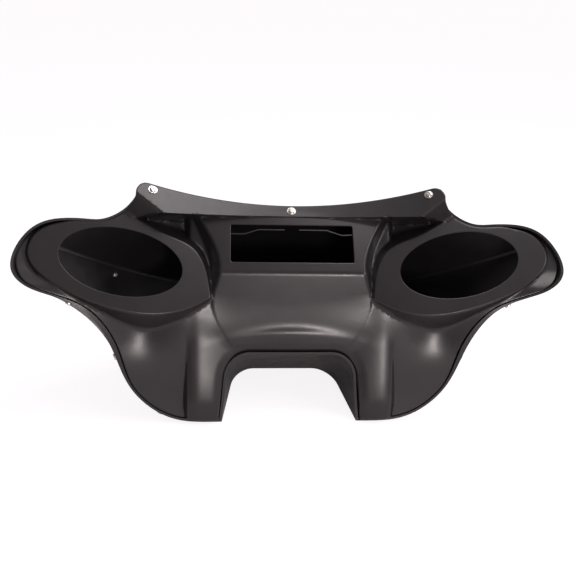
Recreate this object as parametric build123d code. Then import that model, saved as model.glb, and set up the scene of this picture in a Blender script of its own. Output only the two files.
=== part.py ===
"""Motorcycle batwing fairing without its windshield: an outer shell and a dash panel, screwed together.

The shells are drawn in a mould frame that looks straight at the dash (X to the rider's right, Y up
the dash, Z towards the rider), then turned so that the fairing rests on its headlight mouth:
+X right as the rider sees it, +Y forward, +Z up, the floor at z = 0.
"""
import math
import os

from build123d import *

# Outline, seen square to the dash (half of it, in millimetres)
HALF_WIDTH = 400.0
TIP_UP = 33.0
TIP_SHOULDER = (19.0, 47.0)
TOP_MID_UP = 127.0
HORN_OUT = 222.0
HORN_UP = 156.5
HORN_NECK = [(11.0, -13.0), (29.0, -38.0)]
HORN_RUN = (1.0, -0.3)
WING_ROOT_OUT = 285.0
WING_UP = 100.5
WING_FLAT = 33.0
TIP_LOW_OUT = 378.0
TIP_LOW_RUN = (-0.85, -0.53)
ELBOW_OUT = 313.0
ELBOW_UP = -39.5
ELBOW_DRAW = (0.6, 0.8)
LEG_SIDE_OUT = 267.0
LEG_SIDE_UP = -94.0
LEG_SIDE_DRAW = (0.5, 0.2)
KNEE_OUT = 236.0
KNEE_UP = -159.0
KNEE_RUN = (-0.6, -0.8)
TOE_OUT = 184.0
TOE_UP = -199.0
FOOT_UP = -207.5
RIGHTWARDS = (1.0, 0.0)
LEFTWARDS = (-1.0, 0.0)
STRIP = 11.0
FLARE = 0.244
FLARE_FROM = 35.0
FLARE_TO = 130.0

# Headlight mouth: the rear arch and its taper towards the front edge
REST_PITCH = 25.0
FOOT_DEPTH = 5.0
ARCH_UP = -102.0
ARCH_HALF = 95.0
ARCH_FOOT_HALF = 107.0
ARCH_CORNER = 38.0
ARCH_DEPTH = 26.0
MOUTH_RISE = 0.235
MOUTH_NARROW = 0.075

# Walls and clearances
OUTER_WALL = 3.5
INNER_WALL = 3.0
SEAM_GAP = 0.3
RIM_PROUD = 1.5
SKIRT = 26.0
SHIELD_GAP = 5.0

# Seam surface: how far towards the rider the two shells meet
CREST_UP = -20.0
CREST = 39.0
UP_FALL = 46.0
UP_RUN = 72.0
DOWN_FALL = 44.0
DOWN_RUN = 130.0
SWEEP = 4.2e-4
SWEEP_RISE = 0.8e-6
VALLEY = 20.0
VALLEY_OUT = 165.0
VALLEY_WIDE = 45.0
SCOOP = 12.0
SCOOP_OUT = 225.0
SCOOP_UP = -60.0
SCOOP_RUN = 42.0
GROOVE = 8.0
GROOVE_OUT = 310.0
GROOVE_UP = -5.0
GROOVE_RUN = 60.0
GROOVE_RISE = 35.0

# Outer skin: a swept brow with a face above and a face below it
NOSE = 236.0
NOSE_BLUNT = 124.0
BROW_UP = -6.0
BROW_RISE = 5.2e-4
UPPER_SLOPE = 1.62
UPPER_EASE = 0.25
LOWER_SLOPE = 0.66
LOWER_EASE = 0.30
EASE_RUN = 220.0
SKIN_ROUND = 10.0
FACE_MIDDLE = 60.0

# Speaker pods
POD_FRONT = 60.0
POD_OUT = 265.0
POD_UP = 38.0
POD_SWEEP = 0.19
POD_SLOPE = 0.37
POD_ROUND = 5.0
POD_DEPTH = 40.0
POD_DRAFT = 38.0
POD_HEAD = (262, 122)
POD_CORNER = (123, -15)
POD_TIP = [POD_HEAD, (320, 98), (371, 78), (381, 50), (352, 11), (284, -22), (211, -39), (160, -32),
           POD_CORNER]
POD_VALLEY = [POD_CORNER, (127, 15), (148, 58), (190, 80), POD_HEAD]
SPEAKER_LONG = 177.0
SPEAKER_SHORT = 97.0
SPEAKER_OUT = 252.0
SPEAKER_UP = 37.0
SPEAKER_TURN = 12.0

# Radio console
CONSOLE_EDGE_UP = 22.0
CONSOLE_FRONT = 56.0
RADIO_SLOPE = 0.4
CHIN_SLOPE = 0.25
CONSOLE_HALF = 110.0
CONSOLE_TOP_HALF = 146.0
CONSOLE_LAP = 5.0
CONSOLE_SHOULDER = (120.0, 69.0)
CONSOLE_CHIN = (120.0, -15.0)
CONSOLE_FOOT = (90.0, -90.0)
CONSOLE_ROUND = 6.0
CONSOLE_ROUND_FROM = -80.0
RADIO_WIDE = 186.0
RADIO_HIGH = 57.0
RADIO_UP = 67.0
RADIO_CORNER = 2.5

# Windshield flange along the top
FLANGE_UP = 109.0
FLANGE_STEP = 1.0
FLANGE_FRONT = CONSOLE_FRONT - RADIO_SLOPE * (FLANGE_UP - CONSOLE_EDGE_UP) + FLANGE_STEP
FLANGE_BOW = 8.6e-4
FLANGE_SLOPE = 0.5
FLANGE_END_OUT = 193.0
FLANGE_CUT_OUT = 232.0
FLANGE_CUT_UP = 139.0
FLANGE_PAST_OUT = FLANGE_CUT_OUT + 40.0

# Leg panels beside the mouth
LEG_RAISE = 17.0
LEG_SHAPE = [(FOOT_UP - 20.0, 0.6), (-165.0, 1.0), (-115.0, 0.75), (-75.0, 0.35), (-45.0, 0.05)]
LEG_SLANT = 1.1
LEG_BURY = 3.0
LEG_INNER = ARCH_HALF - 30.0
LEG_BESIDE_ARCH = ARCH_HALF + 15.0
CREASE_OUT = 162.0
LEG_PEAK = CREASE_OUT - 24.0
LEG_SHOULDER = CREASE_OUT - 8.0
LEG_END = CREASE_OUT + 2.0

# Fasteners
SHIELD_SCREW_OUT = 209.0
SHIELD_SCREW_DROP = 9.0
SHIELD_SCREW_R = 2.5
SHIELD_HEAD_R = 5.0
SHIELD_HEAD_H = 3.0
SHIELD_WASHER_R = 6.5
SHIELD_WASHER_T = 1.2
SHIELD_SLEEVE_R = 6.0
SLEEVE_CLEAR = 0.2
SHIELD_NUT_R = 4.6
SHIELD_NUT_H = 4.0
EDGE_SCREW_AT = (0.26, 0.72)
TOE_SCREW_AT = 0.34
EDGE_SCREW_DROP = 13.0
EDGE_SCREW_R = 2.5
EDGE_HEAD_R = 4.75
EDGE_HEAD_H = 2.6
EDGE_NUT_R = 4.6
EDGE_NUT_H = 4.0
HEAD_ROUND = 0.45
SOCKET_R = 1.75
SOCKET_H = 1.6
SHANK_SPARE = 1.0
HOLE_CLEAR = 0.3
THREAD_CLEAR = 0.1
SEAT = 0.1

# How far the cutting blocks reach past the shells
REACH = 420.0
TOP = 240.0
BACK = -60.0
DEEP = -420.0
DEEPER = -520.0
V_LOW = -260.0
V_HIGH = 200.0
FAR = 600.0
MOUTH_SPARE = 120.0
FLANGE_SPARE = 40.0
BORE_SPARE = 1.0
BORE_PAST = 10.0
NUT_BORE = 20.0

# Stations that the surfaces are lofted through, and how edges to round are told apart
US_COUNT = 17
SKIN_US_COUNT = 15
VS_COUNT = 14
UPRIGHT = 0.6
SKIN_FACING = -0.2
SEAT_ROUNDS = 4


def seam(u, v):
    """Seam surface between the shells."""
    d = v - CREST_UP
    if d > 0.0:
        mid = CREST - UP_FALL * (1.0 - math.exp(-((d / UP_RUN) ** 2)))
    else:
        mid = CREST - DOWN_FALL * (1.0 - math.exp(-((d / DOWN_RUN) ** 2)))
    return mid + (SWEEP + SWEEP_RISE * v) * u * u


def ease(x):
    """Smooth step from 0 to 1."""
    x = min(max(x, 0.0), 1.0)
    return x * x * (3.0 - 2.0 * x)


def dash(u, v):
    """Dash panel floor: the seam surface, less a valley beside the console, a scoop under the pod
    and a groove round the wing tip."""
    x = (abs(u) - VALLEY_OUT) / VALLEY_WIDE
    up = min(max((v - CREST_UP) / (FLANGE_UP - CREST_UP), 0.0), 1.0)
    valley = VALLEY * math.exp(-x * x) * math.sin(0.5 * math.pi * up) ** 2
    away = math.hypot(abs(u) - SCOOP_OUT, v - SCOOP_UP) / SCOOP_RUN
    scoop = SCOOP * math.exp(-away * away)
    groove = GROOVE * ease((abs(u) - GROOVE_OUT) / GROOVE_RUN) * ease((v - GROOVE_UP) / GROOVE_RISE)
    return seam(u, v) - valley - scoop - groove


def brow(u):
    """Place of the brow crease at one station: up the dash, then towards the rider."""
    sweep = math.sqrt(NOSE_BLUNT ** 2 + u * u) - NOSE_BLUNT
    return BROW_UP + BROW_RISE * u * u, sweep - NOSE


def skin(u, v):
    """Outer skin of the outer shell."""
    up, front = brow(u)
    steep = 1.0 / (1.0 + (u / EASE_RUN) ** 2)
    d = v - up
    if d > 0.0:
        return front + (UPPER_EASE + (UPPER_SLOPE - UPPER_EASE) * steep) * d
    return front - (LOWER_EASE + (LOWER_SLOPE - LOWER_EASE) * steep) * d


def flange(u, v):
    """Front of the windshield flange."""
    return FLANGE_FRONT + FLANGE_BOW * u * u - FLANGE_SLOPE * (v - FLANGE_UP)


def thick(surface, wall):
    """The same surface one wall deeper, measured along its normal."""
    def deeper(u, v):
        du = (surface(u + 1.0, v) - surface(u - 1.0, v)) / 2.0
        dv = (surface(u, v + 1.0) - surface(u, v - 1.0)) / 2.0
        return surface(u, v) - wall * math.sqrt(1.0 + du * du + dv * dv)
    return deeper


def block(surface, far, us, vs):
    """Solid between a surface and the plane z = far, lofted through stations across the width."""
    rings = []
    for u in us:
        points = [Vector(u, v, surface(u, v)) for v in vs]
        top = Spline(points)
        first = Vector(u, vs[0], far)
        last = Vector(u, vs[-1], far)
        sides = Polyline(points[-1], last, first, points[0])
        rings.append(Wire(list(top.edges()) + list(sides.edges())))
    return Solid.make_loft(rings)


def spread(low, high, count):
    """Evenly spaced stations."""
    return [low + (high - low) * i / (count - 1) for i in range(count)]


def top_edge(u):
    """Height of the top edge, an arc from horn to horn."""
    rise = HORN_UP - TOP_MID_UP
    radius = (HORN_OUT ** 2 + rise ** 2) / (2.0 * rise)
    return TOP_MID_UP + radius - math.sqrt(radius ** 2 - u * u)


def wing_points(strip):
    """Points of the right-hand wing's lower edge, drawn in by the width of the strip."""
    elbow = (ELBOW_OUT - ELBOW_DRAW[0] * strip, ELBOW_UP + ELBOW_DRAW[1] * strip)
    side = (LEG_SIDE_OUT - LEG_SIDE_DRAW[0] * strip, LEG_SIDE_UP + LEG_SIDE_DRAW[1] * strip)
    return [(TIP_LOW_OUT, 0), elbow, side, (KNEE_OUT, KNEE_UP)]


def wing_edge(strip):
    """Lower edge of the right-hand wing."""
    return Spline(wing_points(strip), tangents=[TIP_LOW_RUN, KNEE_RUN])


def toe_points():
    """Points of the right-hand leg's lower edge."""
    return [(KNEE_OUT, KNEE_UP), (TOE_OUT, TOE_UP), (ARCH_FOOT_HALF, FOOT_UP)]


def toe_edge(strip=0.0):
    """Lower edge of the right-hand leg, where there is no strip to draw it in."""
    return Spline(toe_points(), tangents=[KNEE_RUN, LEFTWARDS])


def shifted(line, points, inset):
    """The points of a line moved inwards, square to it."""
    moved = []
    for point in points:
        run = line.tangent_at(line.edge().param_at_point(point))
        moved.append((point[0] + inset * run.Y, point[1] - inset * run.X))
    return moved


def miter(corner, one, two, inset):
    """Where two lines moved inwards from a corner meet, from where each moved it to."""
    start = Vector(*corner)
    first = (Vector(*one) - start) / inset
    second = (Vector(*two) - start) / inset
    meet = start + (first + second) * (inset / (1.0 + first.dot(second)))
    return (meet.X, meet.Y)


def outline(strip=0.0, inset=0.0):
    """Face inside the silhouette, its foot closed across the mouth."""
    horn = (HORN_OUT, HORN_UP)
    top = [(0, TOP_MID_UP), (HORN_OUT / 2, top_edge(HORN_OUT / 2)), horn]
    neck = [(HORN_OUT + out, HORN_UP + up) for out, up in HORN_NECK]
    flat_end = (WING_ROOT_OUT + WING_FLAT, WING_UP)
    shoulder = (HALF_WIDTH - TIP_SHOULDER[0], TIP_UP + TIP_SHOULDER[1])
    root = [horn] + neck + [(WING_ROOT_OUT, WING_UP), flat_end]
    tip = [flat_end, shoulder, (HALF_WIDTH, TIP_UP), (TIP_LOW_OUT, 0)]
    wing = wing_points(strip)
    toe = toe_points()
    if inset > 0.0:
        top = shifted(ThreePointArc(*top), top, inset)
        root = shifted(Spline(root, tangents=[HORN_RUN, RIGHTWARDS]), root, inset)
        tip = shifted(Spline(tip, tangents=[RIGHTWARDS, TIP_LOW_RUN]), tip, inset)
        wing = shifted(wing_edge(strip), wing, inset)
        toe = shifted(toe_edge(), toe, inset)
        top[2] = miter(horn, top[2], root[0], inset)
        root[0] = top[2]
    foot = toe[2]
    edges = [
        ThreePointArc(*top),
        Spline(root, tangents=[HORN_RUN, RIGHTWARDS]),
        Spline(tip, tangents=[RIGHTWARDS, TIP_LOW_RUN]),
        Spline(wing, tangents=[TIP_LOW_RUN, KNEE_RUN]),
        Spline(toe, tangents=[KNEE_RUN, LEFTWARDS]),
        Line(foot, (0, foot[1])),
    ]
    half = [part for edge in edges for part in edge.edges()]
    other = [part for edge in half for part in mirror(edge, Plane.YZ).edges()]
    return make_face(half + other)


def prism(strip=0.0, inset=0.0):
    """The outline run through the whole depth."""
    return extrude(Pos(0, 0, DEEP) * outline(strip, inset), amount=TOP - DEEP, dir=(0, 0, 1))


def mouth(grow=0.0):
    """Headlight mouth: the void under the arch, grown by a wall."""
    rings = []
    for z in (TOP, DEEP):
        run = ARCH_DEPTH - z
        up = ARCH_UP - MOUTH_RISE * run + grow
        half = ARCH_HALF - MOUTH_NARROW * run + grow
        foot = half + (ARCH_FOOT_HALF - ARCH_HALF) * (up - FOOT_UP) / (ARCH_UP - FOOT_UP)
        low = FOOT_UP - MOUTH_SPARE
        lean = (foot - half) / (up - FOOT_UP)
        wide = half + lean * (up - low)
        ring = FilletPolyline((wide, low, z), (half, up, z), (-half, up, z), (-wide, low, z),
                              radius=ARCH_CORNER + grow)
        base = Line((-wide, low, z), (wide, low, z))
        rings.append(Wire(list(ring.edges()) + list(base.edges())))
    return Solid.make_loft(rings, ruled=True)


def skin_block(lift):
    """Solid on the rider's side of the outer skin, the skin lifted by a wall."""
    rings = []
    for u in SKIN_US:
        up, front = brow(u)
        above = skin(u, up + 1.0) - front
        below = skin(u, up - 1.0) - front
        higher = up + FACE_MIDDLE
        lower = up - FACE_MIDDLE
        run_up = (skin(u + 1.0, higher) - skin(u - 1.0, higher)) / 2.0
        run_down = (skin(u + 1.0, lower) - skin(u - 1.0, lower)) / 2.0
        high = lift * math.sqrt(1.0 + above ** 2 + run_up ** 2)
        low = lift * math.sqrt(1.0 + below ** 2 + run_down ** 2)
        shift = (low - high) / (above + below)
        ridge = Vector(u, up + shift, front + above * shift + high)
        top = Vector(u, V_HIGH, skin(u, V_HIGH) + high)
        foot = Vector(u, V_LOW, skin(u, V_LOW) + low)
        ring = Polyline(foot, ridge, top, Vector(u, V_HIGH, FAR), Vector(u, V_LOW, FAR), close=True)
        rings.append(Wire(ring.edges()))
    return Solid.make_loft(rings)


def below_plane(origin, normal):
    """Everything under a plane, as far as the shells reach."""
    plane = Plane(origin=origin, z_dir=normal)
    return plane * Box(4 * REACH, 4 * REACH, 2 * REACH, align=(Align.CENTER, Align.CENTER, Align.MAX))


def pod_line(inset):
    """Right-hand speaker pod's lip, moved inwards: round the tip, then back along the valley."""
    round_tip = list(POD_TIP)
    valley = list(POD_VALLEY)
    if inset != 0.0:
        round_tip = shifted(Spline(round_tip), round_tip, inset)
        valley = shifted(Spline(valley), valley, inset)
        round_tip[-1] = miter(POD_CORNER, round_tip[-1], valley[0], inset)
        round_tip[0] = miter(POD_HEAD, valley[-1], round_tip[0], inset)
        valley[0] = round_tip[-1]
        valley[-1] = round_tip[0]
    return round_tip, valley


def pod_ring(inset, drop):
    """Closed ring round the pod on its tilted plane, which is lowered by a drop."""
    edges = []
    for line in pod_line(inset):
        points = []
        for u, v in line:
            w = POD_FRONT + POD_SWEEP * (u - POD_OUT) - POD_SLOPE * (v - POD_UP) - drop
            points.append(Vector(u, v, w))
        edges += list(Spline(points).edges())
    return Wire(edges)


def pod(inset=0.0):
    """Speaker pod: a tilted plateau with rounded lips and drafted walls."""
    drop = inset * math.sqrt(1.0 + POD_SWEEP ** 2 + POD_SLOPE ** 2)
    rings = [pod_ring(inset - POD_DRAFT, drop + POD_DEPTH), pod_ring(inset, drop)]
    plateau = Solid.make_loft(rings, ruled=True)
    return fillet(plateau.faces().sort_by(Axis.Z)[-1].edges(), POD_ROUND - inset)


def console(inset=0.0):
    """Radio console: a tilted radio face over a chin that runs down to the arch."""
    head = (CONSOLE_TOP_HALF, FLANGE_UP + CONSOLE_LAP)
    side = [head, CONSOLE_SHOULDER, (CONSOLE_HALF, CONSOLE_EDGE_UP), CONSOLE_CHIN, CONSOLE_FOOT]
    if inset > 0.0:
        side = shifted(Spline(side), side, inset)
    right = Spline(side)
    left = mirror(right, Plane.YZ)
    ends = [Line(point, (-point[0], point[1])) for point in (side[0], side[-1])]
    face = make_face(list(right.edges()) + list(left.edges()) + [end.edge() for end in ends])
    column = extrude(Pos(0, 0, BACK) * face, amount=TOP - BACK, dir=(0, 0, 1))
    radio_drop = inset * math.sqrt(1.0 + RADIO_SLOPE ** 2)
    chin_drop = inset * math.sqrt(1.0 + CHIN_SLOPE ** 2)
    column = column & below_plane((0, CONSOLE_EDGE_UP, CONSOLE_FRONT - radio_drop), (0, RADIO_SLOPE, 1))
    column = column & below_plane((0, CONSOLE_EDGE_UP, CONSOLE_FRONT - chin_drop), (0, -CHIN_SLOPE, 1))
    ridge = []
    for edge in column.edges():
        middle = edge.center()
        upright = abs(edge.tangent_at(0.5).Z) > UPRIGHT
        if middle.Z > 0.0 and CONSOLE_ROUND_FROM < middle.Y < FLANGE_UP and not upright:
            ridge.append(edge)
    return fillet(ridge, CONSOLE_ROUND - inset)


def leg(inset=0.0):
    """Raised panel of the right-hand leg, between the mouth and the crease."""
    rings = []
    for v, raised in LEG_SHAPE:
        h = LEG_RAISE * raised - LEG_SLANT * inset
        buried = seam(CREASE_OUT, v) - LEG_RAISE - LEG_BURY
        points = [Vector(LEG_INNER, v, seam(LEG_INNER, v) - 0.5 * LEG_RAISE + h),
                  Vector(LEG_BESIDE_ARCH, v, seam(LEG_BESIDE_ARCH, v) - 0.2 * LEG_RAISE + h),
                  Vector(LEG_PEAK, v, seam(LEG_PEAK, v) + h),
                  Vector(LEG_SHOULDER - inset, v, seam(LEG_SHOULDER, v) - 0.25 * LEG_RAISE + h),
                  Vector(LEG_END - inset, v, buried + h)]
        top = Spline(points)
        sides = Polyline(points[-1], Vector(points[-1].X, v, BACK), Vector(points[0].X, v, BACK), points[0])
        rings.append(Wire(list(top.edges()) + list(sides.edges())))
    return Solid.make_loft(rings)


def flange_face(grow=0.0):
    """Outline of the windshield flange, run past the top edge."""
    half = [(FLANGE_END_OUT, FLANGE_UP), (FLANGE_CUT_OUT, FLANGE_CUT_UP), (FLANGE_PAST_OUT, V_HIGH)]
    points = half + [(-u, v) for u, v in reversed(half)]
    face = make_face(Polyline(*points, close=True).edges())
    if grow:
        face = offset(face, amount=grow)
    return face


def flange_block(inset=0.0):
    """Solid behind the flange's front, or behind its back when inset by a wall."""
    column = extrude(Pos(0, 0, BACK) * flange_face(-inset), amount=TOP - BACK, dir=(0, 0, 1))
    return column & block(thick(flange, inset), DEEP, US, FLANGE_VS)


def dash_block(inset=0.0):
    """Everything in front of the dash panel's face, or of its back when inset by a wall."""
    right = [pod(inset), leg(inset)]
    left = [mirror(piece, Plane.YZ) for piece in right]
    return block(thick(dash, inset), DEEP, US, VS) + (right + left + [console(inset), flange_block(inset)])


def flared():
    """Outside of the outer shell: the silhouette, drawn in towards the rim along the lower wing."""
    deep = extrude(Pos(0, 0, DEEP) * outline(), amount=FLARE_FROM - DEEP, dir=(0, 0, 1))
    rings = []
    for z in (FLARE_FROM, FLARE_TO):
        rings.append(Pos(0, 0, z) * outline((z - FLARE_FROM) * FLARE).face().outer_wire())
    return deep + Solid.make_loft(rings, ruled=True)


def skin_edges(solid):
    """Brow and rim edges of the outer skin."""
    found = []
    for face in solid.faces():
        if face.geom_type != GeomType.BSPLINE or face.normal_at().Z > SKIN_FACING:
            continue
        for edge in face.edges():
            if not any(edge.is_same(other) for other in found):
                found.append(edge)
    return found


def disc(radius, low, high):
    """Round bar along Z."""
    return Pos(0, 0, low) * Cylinder(radius, high - low, align=(Align.CENTER, Align.CENTER, Align.MIN))


def hexagon(radius, low, high):
    """Six-sided bar along Z."""
    return extrude(Pos(0, 0, low) * RegularPolygon(radius, 6), amount=high - low, dir=(0, 0, 1))


def screw(radius, head_r, head_h, head_low, end):
    """Screw along Z with a rounded socket head."""
    head = disc(head_r, head_low, head_low + head_h)
    head = fillet(head.edges().sort_by(Axis.Z)[-1], HEAD_ROUND * head_h)
    head = head - hexagon(SOCKET_R, head_low + head_h - SOCKET_H, head_low + head_h + BORE_SPARE)
    return head + disc(radius, end, head_low)


def shield_planes():
    """Seats of the three windshield screws on the flange."""
    planes = []
    for u in (-SHIELD_SCREW_OUT, 0.0, SHIELD_SCREW_OUT):
        v = top_edge(u) - SHIELD_SCREW_DROP
        planes.append(Plane(origin=(u, v, flange(u, v)), z_dir=(-2.0 * FLANGE_BOW * u, FLANGE_SLOPE, 1)))
    return planes


def edge_seat(edge, at):
    """Seat of one edge screw on the right-hand side: its plane and the depth of its nut."""
    z = FLARE_FROM
    for _ in range(SEAT_ROUNDS):
        line = edge(max(z - FLARE_FROM, 0.0) * FLARE)
        point = line @ at
        z = seam(point.X, point.Y) + RIM_PROUD - EDGE_SCREW_DROP
    run = line % at
    out = Vector(-run.Y, run.X, 0)
    next_point = edge(max(z + 2.0 - FLARE_FROM, 0.0) * FLARE) @ at
    tilt = -(next_point - point).dot(out) / 2.0
    plane = Plane(origin=(point.X, point.Y, z), z_dir=(out.X, out.Y, tilt))
    gap = edge(STRIP).distance_to(Vertex(point.X, point.Y, 0))
    return plane, (gap + OUTER_WALL + SEAM_GAP + INNER_WALL) * math.sqrt(1.0 + tilt * tilt)


US = spread(-REACH, REACH, US_COUNT)
SKIN_US = spread(-REACH, REACH, SKIN_US_COUNT)
VS = spread(V_LOW, V_HIGH, VS_COUNT)
FLANGE_VS = (FLANGE_UP - FLANGE_SPARE, V_HIGH + 5.0)

pitch = math.radians(REST_PITCH)
floor_normal = (0, math.cos(pitch), math.sin(pitch))
floor = below_plane((0, FOOT_UP, FOOT_DEPTH), floor_normal)
sole = below_plane((0, FOOT_UP + OUTER_WALL / math.cos(pitch), FOOT_DEPTH), floor_normal)
above_sole = OUTER_WALL + SEAM_GAP
inner_floor = below_plane((0, FOOT_UP + above_sole / math.cos(pitch), FOOT_DEPTH), floor_normal)

# Windshield seat: a ledge of the outer shell under the flange, one windshield away from it
seat_drop = INNER_WALL + SHIELD_GAP
flange_column = extrude(Pos(0, 0, DEEP) * flange_face(), amount=TOP - DEEP, dir=(0, 0, 1))
seat_face = flange_face(-INNER_WALL - SEAM_GAP)
seat_column = extrude(Pos(0, 0, DEEP) * seat_face, amount=TOP - DEEP, dir=(0, 0, 1))
seat = block(thick(flange, seat_drop), DEEP, US, FLANGE_VS) & seat_column
ledge = seat - block(thick(flange, seat_drop + OUTER_WALL), DEEP, US, FLANGE_VS)
behind_dash = block(thick(dash, INNER_WALL + SEAM_GAP), DEEP, US, VS) & flange_column

# Outer shell
rim = block(lambda u, v: seam(u, v) + RIM_PROUD, DEEP, US, VS) - flange_column
rim = rim + behind_dash + seat
shell = flared() & skin_block(0.0)
shell = fillet(skin_edges(shell), SKIN_ROUND)
shell = (shell & rim) - mouth() - floor
hollow = prism(STRIP, OUTER_WALL) & skin_block(OUTER_WALL)
hollow = fillet(skin_edges(hollow), SKIN_ROUND - OUTER_WALL)
hollow = hollow - mouth(OUTER_WALL) - sole - ledge
outer = shell - hollow

# Dash panel
fit = OUTER_WALL + SEAM_GAP
edge = prism(STRIP, fit) - mouth(fit)
edge = edge + (flange_column & prism())
panel = (dash_block() & edge) - block(lambda u, v: seam(u, v) - SKIRT, DEEPER, US, VS)
panel = (panel & skin_block(SKIN_ROUND)) - inner_floor
under = prism(STRIP, fit + INNER_WALL) - mouth(fit + INNER_WALL)
under = (dash_block(INNER_WALL) & under) + flange_block(INNER_WALL)
oval = Rot(0, 0, SPEAKER_TURN) * Ellipse(SPEAKER_LONG / 2, SPEAKER_SHORT / 2)
speaker = Pos(SPEAKER_OUT, SPEAKER_UP, 0) * extrude(oval, amount=TOP, both=True)
radio = extrude(RectangleRounded(RADIO_WIDE, RADIO_HIGH, RADIO_CORNER), amount=TOP, both=True)
openings = [speaker, mirror(speaker, Plane.YZ), Pos(0, RADIO_UP, 0) * radio]

# Windshield fasteners
stack = INNER_WALL + SHIELD_GAP + OUTER_WALL
head_low = SEAT + SHIELD_WASHER_T
bores = []
shield_screws = []
shield_washers = []
shield_sleeves = []
shield_nuts = []
for plane in shield_planes():
    bores.append(plane * disc(SHIELD_SCREW_R + HOLE_CLEAR, -stack - BORE_SPARE, BORE_PAST))
    end = -stack - SEAT - SHIELD_NUT_H - SHANK_SPARE
    shield_screws.append(plane * screw(SHIELD_SCREW_R, SHIELD_HEAD_R, SHIELD_HEAD_H, head_low, end))
    washer = disc(SHIELD_WASHER_R, SEAT, head_low) - disc(SHIELD_SCREW_R + HOLE_CLEAR, 0, BORE_PAST)
    shield_washers.append(plane * washer)
    sleeve = disc(SHIELD_SLEEVE_R, SLEEVE_CLEAR - seat_drop, -INNER_WALL - SLEEVE_CLEAR)
    sleeve = sleeve - disc(SHIELD_SCREW_R + HOLE_CLEAR, -stack, 0)
    shield_sleeves.append(plane * sleeve)
    nut = hexagon(SHIELD_NUT_R, -stack - SEAT - SHIELD_NUT_H, -stack - SEAT)
    nut = nut - disc(SHIELD_SCREW_R + THREAD_CLEAR, -stack - NUT_BORE, 0)
    shield_nuts.append(plane * nut)

# Edge fasteners
nut_seats = []
edge_screws = []
edge_nuts = []
seats = [edge_seat(wing_edge, at) for at in EDGE_SCREW_AT] + [edge_seat(toe_edge, TOE_SCREW_AT)]
for plane, depth in seats:
    bore = plane * disc(EDGE_SCREW_R + HOLE_CLEAR, -depth - BORE_SPARE, BORE_PAST)
    face = plane * disc(EDGE_NUT_R + HOLE_CLEAR, -depth - EDGE_NUT_H, -depth)
    end = -depth - SEAT - EDGE_NUT_H - SHANK_SPARE
    one = plane * screw(EDGE_SCREW_R, EDGE_HEAD_R, EDGE_HEAD_H, SEAT, end)
    nut = hexagon(EDGE_NUT_R, -depth - SEAT - EDGE_NUT_H, -depth - SEAT)
    nut = plane * (nut - disc(EDGE_SCREW_R + THREAD_CLEAR, -depth - NUT_BORE, 0))
    bores += [bore, mirror(bore, Plane.YZ)]
    nut_seats += [face, mirror(face, Plane.YZ)]
    edge_screws += [one, mirror(one, Plane.YZ)]
    edge_nuts += [nut, mirror(nut, Plane.YZ)]

outer = outer - bores
inner = panel - under
inner = inner - (openings + bores + nut_seats)

# Turn everything to rest on the mouth, centred front to back
lift = -(FOOT_UP * math.cos(pitch) + FOOT_DEPTH * math.sin(pitch))
turned = Pos(0, 0, lift) * Rot(90.0 - REST_PITCH, 0, 0)
box = Compound(children=[turned * outer, turned * inner]).bounding_box()
rest = Pos(0, -box.center().Y, 0) * turned
nodes = {
    "outer_fairing": [outer],
    "inner_fairing": [inner],
    "windshield_screws": shield_screws,
    "windshield_washers": shield_washers,
    "windshield_sleeves": shield_sleeves,
    "windshield_nuts": shield_nuts,
    "edge_screws": edge_screws,
    "edge_nuts": edge_nuts,
}
os.makedirs("parts", exist_ok=True)
for name, pieces in nodes.items():
    solids = [rest * solid for piece in pieces for solid in piece.solids()]
    shape = solids[0] if len(solids) == 1 else Compound(children=solids)
    export_step(shape, "parts/%s.step" % name)
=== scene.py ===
"""Satin black batwing fairing on a pale floor, seen from the rider's side.

The shells are drawn in the same mould frame as the part: u to the rider's right, v up the dash and
w towards the rider, in millimetres. rest_frame() turns mould points into the row frame in metres.
"""
import math

import bpy
import numpy as np
from mathutils import Matrix, Vector
from mathutils.geometry import delaunay_2d_cdt


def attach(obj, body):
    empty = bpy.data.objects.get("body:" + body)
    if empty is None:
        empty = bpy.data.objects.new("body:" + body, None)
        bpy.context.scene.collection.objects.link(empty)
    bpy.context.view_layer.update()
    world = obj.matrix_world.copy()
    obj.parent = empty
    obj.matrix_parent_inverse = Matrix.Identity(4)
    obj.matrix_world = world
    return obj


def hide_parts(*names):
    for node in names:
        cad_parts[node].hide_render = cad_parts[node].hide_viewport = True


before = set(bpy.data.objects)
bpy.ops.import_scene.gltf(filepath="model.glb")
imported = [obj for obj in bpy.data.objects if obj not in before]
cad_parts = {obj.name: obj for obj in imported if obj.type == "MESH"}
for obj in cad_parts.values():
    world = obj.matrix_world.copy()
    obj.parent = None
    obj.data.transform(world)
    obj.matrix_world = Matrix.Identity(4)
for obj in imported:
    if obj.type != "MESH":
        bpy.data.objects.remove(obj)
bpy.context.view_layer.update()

# Mould frame, as the part states it
REST_PITCH = math.radians(25.0)
MOULD_Y = -51.39
MOULD_Z = 185.95

# Camera, from the photograph's perspective
CAMERA_AWAY = 1158.0
CAMERA_AIM = (-3.0, 0.0, 0.0)
CAMERA_YAW = math.radians(5.0)
CAMERA_ROLL = math.radians(0.4)
CAMERA_FOCUS = 740.0
FRAME_SIDE = 576.0
SENSOR = 36.0

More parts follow.
